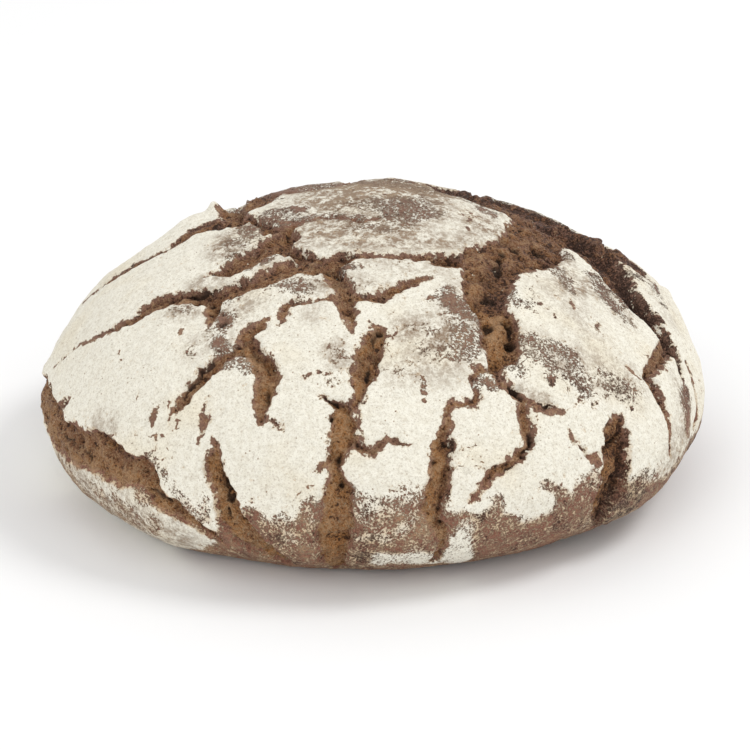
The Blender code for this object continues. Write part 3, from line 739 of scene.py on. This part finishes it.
def smooth_loaf():
    """The smooth loaf's mesh, fine near the cracks, and its vertices on the map and in space."""
    bm = bmesh.new()
    bmesh.ops.create_icosphere(bm, subdivisions=BALL_SUBDIVISIONS, radius=1.0)
    refine_near_cracks(bm)
    places = map_places(bm)
    points = body_points(places)
    for vert, point in zip(bm.verts, points):
        vert.co = Vector(point)
    bmesh.ops.recalc_face_normals(bm, faces=bm.faces[:])
    return finished_mesh(bm, "crust"), places, points


def finished_mesh(bm, name):
    """Turn a mesh under construction into a finished one."""
    mesh = bpy.data.meshes.new(name)
    bm.to_mesh(mesh)
    bm.free()
    return mesh


def add_object(name, data):
    """Put a mesh, camera or lamp into the scene."""
    thing = bpy.data.objects.new(name, data)
    bpy.context.scene.collection.objects.link(thing)
    return thing


def fit_to_cad(points):
    """Stretch the crust, by very little, to fill the CAD solid's box."""
    low = points.min(axis=0)
    high = points.max(axis=0)
    return (points - low) / (high - low) * CAD_SIZE + CAD_BOX[0]


def store(mesh, name, values):
    """Keep one number per vertex for the material."""
    layer = mesh.attributes.new(name, "FLOAT", "POINT")
    layer.data.foreach_set("value", values.astype(np.float32))


def make_crust():
    """The loaf's whole outside, torn and floured, as one closed mesh."""
    mesh, places, points = smooth_loaf()
    torn = ragged(places, points)
    side, groove, warmth, crack_shade, lean = crack_fields(torn)
    clefts = line_field(CLEFTS, CLEFT_WIDTH, torn)
    flour, worn = flour_density(torn, points, side)
    relief, tone_and_shading, hollow_shade = crust_relief(
        places, points, side, groove, clefts, pit_field(torn), flour)
    normals = np.array([normal.vector[:] for normal in mesh.vertex_normals])
    points = points + normals * relief[:, None]
    points[:, 2] = np.where(points[:, 2] < FLAT_BELOW, 0.0, points[:, 2])
    mesh.vertices.foreach_set("co", (fit_to_cad(points) * MM).ravel())
    looks = {
        "inner": 1.0 - smooth_step(-3.6, -0.4, side),
        "flour": flour,
        "worn": worn,
        "veil": strokes(VEILS, torn),
        # Towards each crack's deep side the tone darkens and the warmth turns from golden to purple-brown:
        # painted shade on that side, painted light on the other.
        "tone_and_shading": tone_and_shading - 0.6 * lean,
        "warmth": warmth - 0.35 * lean,
        # Painted shade of the crack floors.
        "crack_shade": crack_shade,
        # Painted shade of the hollows.
        "hollow_shade": hollow_shade,
        "hairline": line_field(HAIRLINES, HAIRLINE_WIDTH, torn),
        "belly": smooth_step(BELLY_FROM, BELLY_TO, from_crown(places)),
    }
    for name, values in looks.items():
        store(mesh, name, values)
    mesh.shade_smooth()
    mesh.update()
    return add_object("crust", mesh)


# ---------------------------------------------------------------- materials


class Nodes:
    """Short calls for building one material's node tree."""

    def __init__(self, name):
        self.material = bpy.data.materials.new(name)
        self.material.use_nodes = True
        self.tree = self.material.node_tree
        self.shader = self.tree.nodes["Principled BSDF"]

    def add(self, kind, **settings):
        node = self.tree.nodes.new(kind)
        for key, value in settings.items():
            setattr(node, key, value)
        return node

    def set(self, node, socket, value):
        """Link an output, or set a plain value."""
        if isinstance(value, bpy.types.NodeSocket):
            self.tree.links.new(value, node.inputs[socket])
        else:
            node.inputs[socket].default_value = value

    def math(self, operation, first, second=0.0, third=0.0):
        node = self.add("ShaderNodeMath", operation=operation)
        for place, value in enumerate((first, second, third)):
            self.set(node, place, value)
        return node.outputs[0]

    def times(self, first, second):
        return self.math("MULTIPLY", first, second)

    def plus(self, base, value, amount):
        """The base, plus the value times the amount."""
        return self.math("MULTIPLY_ADD", value, amount, base)

    def swing(self, base, noise, amount):
        """The base, swung up and down by a noise from 0 to 1."""
        return self.plus(base, self.math("SUBTRACT", noise, 0.5), amount)

    def attribute(self, name):
        return self.add("ShaderNodeAttribute", attribute_name=name).outputs["Fac"]

    def texture(self, kind, place, size, **settings):
        """A pattern with features of the given size in millimetres."""
        node = self.add(kind, **settings)
        self.set(node, "Vector", place)
        self.set(node, "Scale", 1.0 / (size * MM))
        return node

    def noise(self, place, size, detail, roughness, output="Fac"):
        """Noise from 0 to 1."""
        node = self.texture("ShaderNodeTexNoise", place, size)
        self.set(node, "Detail", detail)
        self.set(node, "Roughness", roughness)
        return node.outputs[output]

    def warped(self, place, size, reach):
        """The place, shifted by smooth noise of the given size and reach in millimetres."""
        shift = self.add("ShaderNodeVectorMath", operation="MULTIPLY_ADD")
        self.set(shift, 0, self.noise(place, size, 1.0, 0.5, "Color"))
        self.set(shift, 1, (reach * MM,) * 3)
        self.set(shift, 2, place)
        return shift.outputs[0]

    def cells(self, place, size, feature="F1"):
        return self.texture("ShaderNodeTexVoronoi", place, size, feature=feature)

    def chance(self, cells, part):
        """A random number for each cell, from one part of the cell's colour."""
        node = self.add("ShaderNodeSeparateColor")
        self.set(node, "Color", cells.outputs["Color"])
        return node.outputs[part]

    def ramp(self, value, low, high, to_low=0.0, to_high=1.0):
        """Turn low to high into to_low to to_high, smoothly."""
        node = self.add("ShaderNodeMapRange", interpolation_type="SMOOTHSTEP")
        for socket, number in (("Value", value), ("From Min", low), ("From Max", high),
                               ("To Min", to_low), ("To Max", to_high)):
            self.set(node, socket, number)
        return node.outputs["Result"]

    def mix(self, share, first, second):
        node = self.add("ShaderNodeMix", data_type="RGBA", blend_type="MIX")
        self.set(node, 0, share)
        self.set(node, 6, first)
        self.set(node, 7, second)
        return node.outputs[2]

    def tint(self, base, colour, value, *limits):
        """The base colour, turned towards another by a ramp over a value."""
        return self.mix(self.ramp(value, *limits), base, colour)


def shade(red, green, blue):
    """A colour given as a screen shows it, from 0 to 255, turned into light amounts."""
    return tuple(((part / 255 + 0.055) / 1.055) ** 2.4 for part in (red, green, blue)) + (1.0,)


FLOUR_THICK = shade(240, 236, 222)
# Painted shade of the flour's small bumps, laid on as a random mottle.
FLOUR_PAINTED_SHADE = shade(200, 190, 168)
FLOUR_THIN = shade(146, 126, 106)
FLOUR_FLECK = shade(208, 184, 152)
FLOUR_WARM = shade(234, 222, 194)
SPECK = shade(146, 120, 94)
PLATE_CRUST = shade(140, 106, 88)
BELLY_CRUST = shade(146, 101, 81)
CRACK_DULL = shade(141, 101, 81)
CRACK_BROWN = shade(150, 105, 72)
CRACK_GOLDEN = shade(180, 127, 78)
# Dark crust and painted shade; pale crust and painted light on the crumb's ridges.
CRUST_DARK_AND_SHADE = shade(56, 37, 27)
CRUST_PALE_AND_LIGHT = shade(204, 168, 130)
# Painted shade laid into hollows.
HOLLOW_SHADE_COLOUR = shade(44, 29, 18)

# The material's noises: size in millimetres, detail and roughness.
GRAINS = {
    "dust": (0.38, 1.0, 0.6),
    "tiny": (0.8, 2.0, 0.6),
    "small": (2.0, 3.0, 0.65),
    "coast": (3.4, 3.0, 0.66),
    "patchy": (7.0, 3.0, 0.6),
    "broad": (28.0, 2.0, 0.5),
}
# How strongly each noise swings the bare crust's tone.
CRUST_GRIT = (("tiny", 5.4), ("small", 5.0), ("patchy", 1.6))
# How strongly each noise swings the flour's edge, where the flour is whole and where it is worn.
FLOUR_GRAIN = (("dust", 0.4, 2.6), ("tiny", 0.8, 5.0), ("small", 1.4, 3.3), ("coast", 5.0, 2.4))
# How much each noise gives to the veil's pattern, and to the bump's height.
VEIL_GRAIN = (("patchy", 1.5), ("tiny", 0.6), ("small", 1.3))
BUMP_GRAIN = (("tiny", 1.0), ("small", 2.2), ("dust", 0.35))
BUMP_DEPTH = 0.5 * MM
PORE_SIZE = 1.7
THREAD_SIZE = 1.9
SPECK_SIZE = 1.5
NET_SIZE = 9.0


def blended(n, grain, shares):
    """Sum of the named noises, each times its share."""
    total = 0.0
    for name, share in shares:
        total = n.plus(total, grain[name], share)
    return total


def crack_colour(n, grain):
    """Purple-brown at the crack's sides to golden along its middle, less golden towards the deep side as
    painted shade.
    """
    warm = n.times(n.attribute("warmth"), n.ramp(n.attribute("inner"), 0.0, 1.0, 0.4, 1.2))
    warm = n.swing(warm, grain["patchy"], 2.4)
    warm = n.swing(warm, grain["small"], 0.7)
    colour = n.tint(CRACK_DULL, CRACK_BROWN, warm, -0.1, 0.5)
    return n.tint(colour, CRACK_GOLDEN, warm, 0.45, 1.2)


def crumb_marks(n, place, tiny):
    """Pores, dark as painted shade of small crumb holes, and pale threads of torn crumb, each from 0 to 1.
    """
    bent = n.warped(place, 1.6, 1.2)
    pores = n.cells(bent, PORE_SIZE)
    radius = n.ramp(n.chance(pores, "Green"), 0.35, 1.0, 0.02, 0.5)
    pore_shade = n.ramp(n.math("SUBTRACT", radius, pores.outputs["Distance"]), -0.06, 0.08)
    weave = n.noise(bent, THREAD_SIZE, 2.0, 0.6)
    off = n.math("ABSOLUTE", n.math("SUBTRACT", weave, 0.5))
    threads = n.times(n.ramp(off, 0.0, 0.035, 1.0, 0.0), n.ramp(tiny, 0.42, 0.56))
    return pore_shade, threads


def crust_tone_and_shading(n, place, grain, outside, belly):
    """Light and dark of the bare crust, from about -1 to 1; calmer outside the cracks. Random grit and pale
    threads, with painted shade in holes, pores and deep sides, and painted light on ridges.
    """
    depth = n.ramp(outside, 0.0, 1.0, 1.0, 0.5)
    pore_shade, threads = crumb_marks(n, place, grain["tiny"])
    tone_and_shading = n.times(n.attribute("tone_and_shading"), depth)
    grit = 0.0
    for name, amount in CRUST_GRIT:
        grit = n.swing(grit, grain[name], amount)
    tone_and_shading = n.plus(tone_and_shading, grit, n.ramp(outside, 0.0, 1.0, 1.0, 0.45))
    # Pores darken the tone: painted shade of small crumb holes.
    tone_and_shading = n.plus(tone_and_shading, n.times(pore_shade, depth), -1.2)
    tone_and_shading = n.plus(tone_and_shading, n.times(threads, depth), 0.9)
    stain = n.times(n.math("SUBTRACT", grain["patchy"], 0.52), 3.4)
    tone_and_shading = n.plus(tone_and_shading, belly, stain)
    # The cracks' painted shade darkens the tone.
    return n.plus(tone_and_shading, n.plus(0.42, n.attribute("crack_shade"), -0.9), depth)


def bare_crust(n, place, grain):
    """The crust where no flour lies: pale ridges and dark holes in the cracks, as painted light on the
    ridges and painted shade in the holes.
    """
    outside = n.ramp(n.attribute("inner"), 0.0, 0.3, 1.0, 0.0)
    belly = n.times(n.attribute("belly"), outside)
    crust = n.mix(outside, crack_colour(n, grain), PLATE_CRUST)
    crust = n.mix(belly, crust, BELLY_CRUST)
    tone_and_shading = crust_tone_and_shading(n, place, grain, outside, belly)
    # The tone turns the crust dark or pale: random grit and threads, with painted shade and painted light.
    crust = n.tint(crust, CRUST_DARK_AND_SHADE, tone_and_shading, -1.3, -0.05, 0.85, 0.0)
    crust = n.tint(crust, CRUST_PALE_AND_LIGHT, tone_and_shading, 0.1, 1.3, 0.0, 0.55)
    # Painted shade in the hollows.
    return n.tint(crust, HOLLOW_SHADE_COLOUR, n.attribute("hollow_shade"), 0.2, 1.0, 0.0, 0.9), tone_and_shading


def flour_veil(n, grain):
    """How much of the crust shows through the flour, from 0 to 1."""
    veil = n.math("ADD", n.attribute("veil"), n.ramp(grain["patchy"], 0.56, 0.78, 0.0, 0.35))
    mottle = blended(n, grain, VEIL_GRAIN)
    return n.math("MINIMUM", n.times(veil, n.ramp(mottle, 1.35, 2.05, 1.4, 0.1)), 1.0)


def powder_flour(n, place, signal, grain):
    """The flour: cream, browner where it is thin, mottled with painted shade of its small bumps, with
    scattered dark bran specks.
    """
    powder = n.tint(FLOUR_THICK, FLOUR_WARM, grain["broad"], 0.5, 0.75, 0.0, 0.5)
    # Painted shade: a random mottle standing in for the shading of small bumps.
    powder = n.tint(powder, FLOUR_PAINTED_SHADE, grain["small"], 0.34, 0.6, 0.3, 0.0)
    powder = n.mix(flour_veil(n, grain), powder, FLOUR_THIN)
    powder = n.tint(powder, FLOUR_FLECK, signal, 0.1, 0.8, 0.8, 0.0)
    low = n.times(n.attribute("belly"), n.ramp(n.attribute("flour"), 0.1, 1.0, 1.0, 0.0))
    powder = n.mix(low, powder, FLOUR_FLECK)
    powder = n.tint(powder, FLOUR_THIN, grain["tiny"], 0.3, 0.5, 0.3, 0.0)
    powder = n.tint(powder, FLOUR_THIN, grain["dust"], 0.28, 0.5, 0.25, 0.0)
    specks = n.cells(place, SPECK_SIZE)
    dot = n.ramp(specks.outputs["Distance"], 0.1, 0.28, 1.0, 0.0)
    dot = n.times(dot, n.ramp(n.chance(specks, "Red"), 0.76, 1.0))
    return n.mix(dot, powder, SPECK)


def fine_cracks(n, place, grain):
    """1 on a fine net of cracks that runs over some parts of the flour, else 0."""
    net = n.cells(n.warped(place, 5.0, 5.0), NET_SIZE, "DISTANCE_TO_EDGE")
    edge = net.outputs["Distance"]
    lines = n.times(n.ramp(edge, 0.008, 0.04, 1.0, 0.0), n.ramp(grain["small"], 0.4, 0.52))
    where = n.times(n.ramp(grain["broad"], 0.5, 0.62), n.ramp(grain["patchy"], 0.46, 0.58))
    return n.times(lines, where)


def flour_signal(n, grain, nets):
    """The flour's thickness with all its graininess: bare below 0, covered above about 0.4."""
    worn = n.attribute("worn")
    signal = n.attribute("flour")
    for name, whole, thin in FLOUR_GRAIN:
        signal = n.swing(signal, grain[name], n.plus(whole, worn, thin - whole))
    signal = n.math("SUBTRACT", signal, nets)
    return n.plus(signal, n.attribute("hairline"), -2.4)


def crust_bump(n, grain, cover, tone_and_shading, nets):
    """Normals of the finest grain, stronger on bare crust than on flour."""
    height = blended(n, grain, BUMP_GRAIN)
    height = n.plus(height, tone_and_shading, n.ramp(n.attribute("inner"), 0.0, 0.5, 0.0, 0.35))
    height = n.plus(n.times(cover, 0.5), height, n.ramp(cover, 0.0, 1.0, 2.1, 0.6))
    height = n.plus(height, grain["patchy"], 3.0)
    height = n.plus(height, nets, -0.4)
    bump = n.add("ShaderNodeBump")
    n.set(bump, "Strength", 1.0)
    n.set(bump, "Distance", BUMP_DEPTH)
    n.set(bump, "Height", height)
    return bump.outputs["Normal"]


def crust_material():
    """Brown crust under speckled flour."""
    n = Nodes("floured_rye_crust")
    place = n.add("ShaderNodeTexCoord").outputs["Object"]
    grain = {name: n.noise(place, *numbers) for name, numbers in GRAINS.items()}
    nets = fine_cracks(n, place, grain)
    signal = flour_signal(n, grain, nets)
    worn = n.attribute("worn")
    cover = n.ramp(signal, n.ramp(worn, 0.0, 1.0, 0.02, -0.5), n.ramp(worn, 0.0, 1.0, 0.3, 1.0))
    crust, tone_and_shading = bare_crust(n, place, grain)
    powder = powder_flour(n, place, signal, grain)
    n.set(n.shader, "Base Color", n.mix(cover, crust, powder))
    n.set(n.shader, "Roughness", n.ramp(cover, 0.0, 1.0, 0.62, 0.95))
    n.set(n.shader, "Specular IOR Level", 0.25)
    n.set(n.shader, "Normal", crust_bump(n, grain, cover, tone_and_shading, nets))
    return n.material


def floor_material():
    """Plain pale floor, without gloss."""
    n = Nodes("pale_floor")
    n.set(n.shader, "Base Color", (0.9, 0.9, 0.9, 1.0))
    n.set(n.shader, "Roughness", 0.9)
    n.set(n.shader, "Specular IOR Level", 0.0)
    return n.material


# ---------------------------------------------------------------- the setting

FLOOR_HALF = 3.0
FLOOR_GAP = 0.00005  # the floor lies this far below the loaf, so that the two don't touch

CAMERA_ELEVATION = math.radians(22.0)
CAMERA_DISTANCE = 1.0
CAMERA_LENS = 121.0
AIM_ABOVE = 0.045  # the camera circles this point
AIM_BELOW = 0.010  # and looks this far below it
AIM_RIGHT = 0.0008

# Lamps: place and diameter in metres, and power in watts.
LAMPS = {
    "key": ((1.9, 0.3, 2.5), 1.1, 31.0),
    "fill": ((-1.2, -2.2, 1.2), 1.8, 14.0),
}
SURROUNDINGS_STRENGTH = 0.86


def make_floor():
    """A plain pale floor under the loaf."""
    bm = bmesh.new()
    bmesh.ops.create_grid(bm, x_segments=1, y_segments=1, size=FLOOR_HALF)
    floor = add_object("floor", finished_mesh(bm, "floor"))
    floor.data.materials.append(floor_material())
    floor.location.z = CAD_BOUNDS[0][2] - FLOOR_GAP
    return floor


def look_at(thing, target):
    """Turn a camera or light towards a point."""
    direction = Vector(target) - thing.location
    thing.rotation_euler = direction.to_track_quat("-Z", "Y").to_euler()


def add_camera():
    """The camera: a little above the loaf, in front of it, with a long lens."""
    data = bpy.data.cameras.new("camera")
    data.lens = CAMERA_LENS
    camera = add_object("camera", data)
    camera.location = (AIM_RIGHT, -CAMERA_DISTANCE * math.cos(CAMERA_ELEVATION),
                       AIM_ABOVE + CAMERA_DISTANCE * math.sin(CAMERA_ELEVATION))
    look_at(camera, (AIM_RIGHT, 0.0, AIM_ABOVE - AIM_BELOW))
    bpy.context.scene.camera = camera


def add_lamp(name, place, size, power):
    """A large soft lamp aimed at the loaf."""
    data = bpy.data.lights.new(name, "AREA")
    data.shape = "DISK"
    data.size = size
    data.energy = power
    lamp = add_object(name, data)
    lamp.location = place
    look_at(lamp, (0.0, 0.0, AIM_ABOVE))


def add_surroundings():
    """Even white light from all round."""
    world = bpy.data.worlds.new("studio")
    world.use_nodes = True
    background = world.node_tree.nodes["Background"]
    background.inputs["Color"].default_value = (1.0, 1.0, 1.0, 1.0)
    background.inputs["Strength"].default_value = SURROUNDINGS_STRENGTH
    bpy.context.scene.world = world


crust = make_crust()
crust.data.materials.append(crust_material())
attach(crust, "root")
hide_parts("loaf")

floor = make_floor()

add_camera()
for lamp_name, lamp_numbers in LAMPS.items():
    add_lamp(lamp_name, *lamp_numbers)
add_surroundings()
bpy.context.scene.view_settings.view_transform = "Standard"
